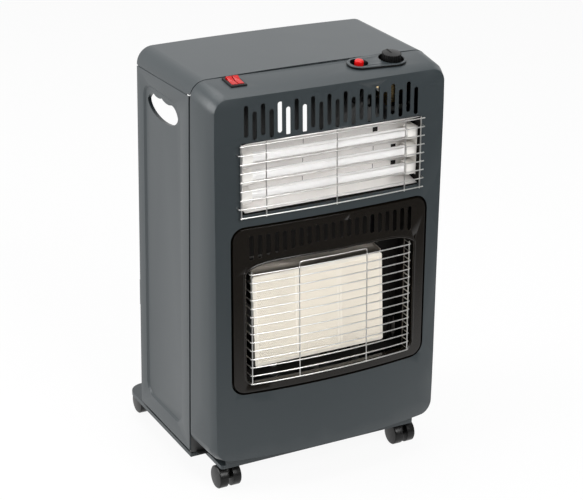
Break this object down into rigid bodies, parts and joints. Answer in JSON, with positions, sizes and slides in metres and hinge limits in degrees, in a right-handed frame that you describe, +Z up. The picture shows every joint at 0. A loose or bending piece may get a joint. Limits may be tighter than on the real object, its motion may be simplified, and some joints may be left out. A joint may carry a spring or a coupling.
{
  "type": "portable gas cabinet heater",
  "caption": "Upright grey cabinet on twin-wheel castors with a gas burner behind wire bars, quartz tubes above it and controls on its top.",
  "frame": {"origin": "on the floor, in the middle of the footprint", "axes": "+Z up, -Y towards the room the heater faces, +X to the viewer's right, knob side"},
  "size_m": [0.435, 0.3836, 0.7194],
  "materials": {
    "cabinet_paint": "satin-gloss grey",
    "tray_paint": "satin dark grey",
    "zinc_sheet": "zinc-coated sheet",
    "enamel": "black vitreous enamel",
    "black_sheet": "matt black sheet",
    "wire_chrome": "bright plated wire",
    "plaque_ceramic": "cream perforated ceramic",
    "white_ceramic": "white steatite",
    "plaque_steel": "heat-tinted steel sheet",
    "reflector_steel": "bright rolled sheet",
    "quartz": "milky quartz glass",
    "coil_wire": "resistance wire",
    "brass": "machined brass",
    "gas_pipe": "drawn tube",
    "plain_steel": "plain steel",
    "sensor_metal": "copper tube",
    "lead_rubber": "silicone sleeve",
    "button_red": "glossy",
    "rocker_red": "glossy translucent",
    "black_plastic": "fine-grained",
    "castor_plastic": "moulded nylon"
  },
  "bodies": {
    "cabinet": {"front_panel": "cabinet_paint", "top_cover": "cabinet_paint", "left_side_panel": "cabinet_paint", "right_side_panel": "cabinet_paint", "control_escutcheon": "cabinet_paint", "base_tray": "tray_paint", "tray_tabs": "tray_paint", "rear_partition": "zinc_sheet", "burner_brackets": "zinc_sheet", "heater_housing": "zinc_sheet", "tube_brackets": "zinc_sheet", "burner_bezel": "enamel", "burner_liner": "black_sheet", "burner_box": "black_sheet", "upper_guard": "wire_chrome", "lower_guard": "wire_chrome", "lower_guard_ends": "wire_chrome", "ceramic_plaques": "plaque_ceramic", "ceramic_caps": "white_ceramic", "spark_electrode": "white_ceramic", "terminal_block": "white_ceramic", "plaque_frame": "plaque_steel", "heat_shield": "plaque_steel", "reflector": "reflector_steel", "quartz_tubes": "quartz", "heating_coils": "coil_wire", "gas_valve": "brass", "injectors": "brass", "hose_nozzle": "brass", "main_gas_pipe": "gas_pipe", "pilot_pipe": "gas_pipe", "gas_manifold": "gas_pipe", "mixer_tubes": "plain_steel", "pilot_burner": "plain_steel", "cabinet_screws": "plain_steel", "castor_stems": "plain_steel", "thermocouple": "sensor_metal", "spark_lead": "lead_rubber", "heater_leads": "lead_rubber", "piezo_igniter": "black_plastic", "rocker_frame": "black_plastic", "tilt_switch": "black_plastic", "cable_gland": "black_plastic"},
    "spindle": {"knob_spindle": "plain_steel"},
    "button": {"ignition_button": "button_red"},
    "left_rocker": {"left_rocker": "rocker_red"},
    "right_rocker": {"right_rocker": "rocker_red"},
    "knob": {"control_knob": "black_plastic"},
    "castor_front_left_body": {"castor_front_left": "castor_plastic"},
    "wheel_front_left_a_body": {"wheel_front_left_a": "castor_plastic"},
    "wheel_front_left_b_body": {"wheel_front_left_b": "castor_plastic"},
    "castor_front_right_body": {"castor_front_right": "castor_plastic"},
    "wheel_front_right_a_body": {"wheel_front_right_a": "castor_plastic"},
    "wheel_front_right_b_body": {"wheel_front_right_b": "castor_plastic"},
    "castor_rear_left_body": {"castor_rear_left": "castor_plastic"},
    "wheel_rear_left_a_body": {"wheel_rear_left_a": "castor_plastic"},
    "wheel_rear_left_b_body": {"wheel_rear_left_b": "castor_plastic"},
    "castor_rear_right_body": {"castor_rear_right": "castor_plastic"},
    "wheel_rear_right_a_body": {"wheel_rear_right_a": "castor_plastic"},
    "wheel_rear_right_b_body": {"wheel_rear_right_b": "castor_plastic"}
  },
  "joints": [
    {"name": "button_press", "type": "slide", "parent": "cabinet", "child": "button", "axis": [0, 0.1142, -0.9935], "range_m": [0, 0.0045], "stiffness_N_per_m": 400, "springref_m": -0.002},
    {"name": "knob_press", "type": "slide", "parent": "cabinet", "child": "spindle", "axis": [0, 0.1142, -0.9935], "range_m": [0, 0.003], "stiffness_N_per_m": 1500, "springref_m": -0.001},
    {"name": "knob_turn", "type": "hinge", "parent": "spindle", "child": "knob", "pos_m": [0.13, -0.11316, 0.70317], "axis": [0, -0.1142, 0.9935], "range_deg": [0, 135]},
    {"name": "left_rocker_tip", "type": "hinge", "parent": "cabinet", "child": "left_rocker", "pos_m": [-0.1571, -0.11117, 0.70339], "axis": [1, 0, 0], "range_deg": [-16, 0]},
    {"name": "right_rocker_tip", "type": "hinge", "parent": "cabinet", "child": "right_rocker", "pos_m": [-0.1459, -0.11117, 0.70339], "axis": [1, 0, 0], "range_deg": [-16, 0]},
    {"name": "swivel_front_left", "type": "hinge", "parent": "cabinet", "child": "castor_front_left_body", "pos_m": [-0.171, -0.11716, 0.045], "axis": [0, 0, 1], "continuous": true},
    {"name": "roll_front_left_a", "type": "hinge", "parent": "castor_front_left_body", "child": "wheel_front_left_a_body", "pos_m": [-0.171, -0.13016, 0.02], "axis": [1, 0, 0], "continuous": true},
    {"name": "roll_front_left_b", "type": "hinge", "parent": "castor_front_left_body", "child": "wheel_front_left_b_body", "pos_m": [-0.171, -0.13016, 0.02], "axis": [1, 0, 0], "continuous": true},
    {"name": "swivel_front_right", "type": "hinge", "parent": "cabinet", "child": "castor_front_right_body", "pos_m": [0.171, -0.11716, 0.045], "axis": [0, 0, 1], "continuous": true},
    {"name": "roll_front_right_a", "type": "hinge", "parent": "castor_front_right_body", "child": "wheel_front_right_a_body", "pos_m": [0.171, -0.13016, 0.02], "axis": [1, 0, 0], "continuous": true},
    {"name": "roll_front_right_b", "type": "hinge", "parent": "castor_front_right_body", "child": "wheel_front_right_b_body", "pos_m": [0.171, -0.13016, 0.02], "axis": [1, 0, 0], "continuous": true},
    {"name": "swivel_rear_left", "type": "hinge", "parent": "cabinet", "child": "castor_rear_left_body", "pos_m": [-0.183, 0.15884, 0.045], "axis": [0, 0, 1], "continuous": true},
    {"name": "roll_rear_left_a", "type": "hinge", "parent": "castor_rear_left_body", "child": "wheel_rear_left_a_body", "pos_m": [-0.183, 0.17184, 0.02], "axis": [1, 0, 0], "continuous": true},
    {"name": "roll_rear_left_b", "type": "hinge", "parent": "castor_rear_left_body", "child": "wheel_rear_left_b_body", "pos_m": [-0.183, 0.17184, 0.02], "axis": [1, 0, 0], "continuous": true},
    {"name": "swivel_rear_right", "type": "hinge", "parent": "cabinet", "child": "castor_rear_right_body", "pos_m": [0.183, 0.15884, 0.045], "axis": [0, 0, 1], "continuous": true},
    {"name": "roll_rear_right_a", "type": "hinge", "parent": "castor_rear_right_body", "child": "wheel_rear_right_a_body", "pos_m": [0.183, 0.17184, 0.02], "axis": [1, 0, 0], "continuous": true},
    {"name": "roll_rear_right_b", "type": "hinge", "parent": "castor_rear_right_body", "child": "wheel_rear_right_b_body", "pos_m": [0.183, 0.17184, 0.02], "axis": [1, 0, 0], "continuous": true}
  ]
}
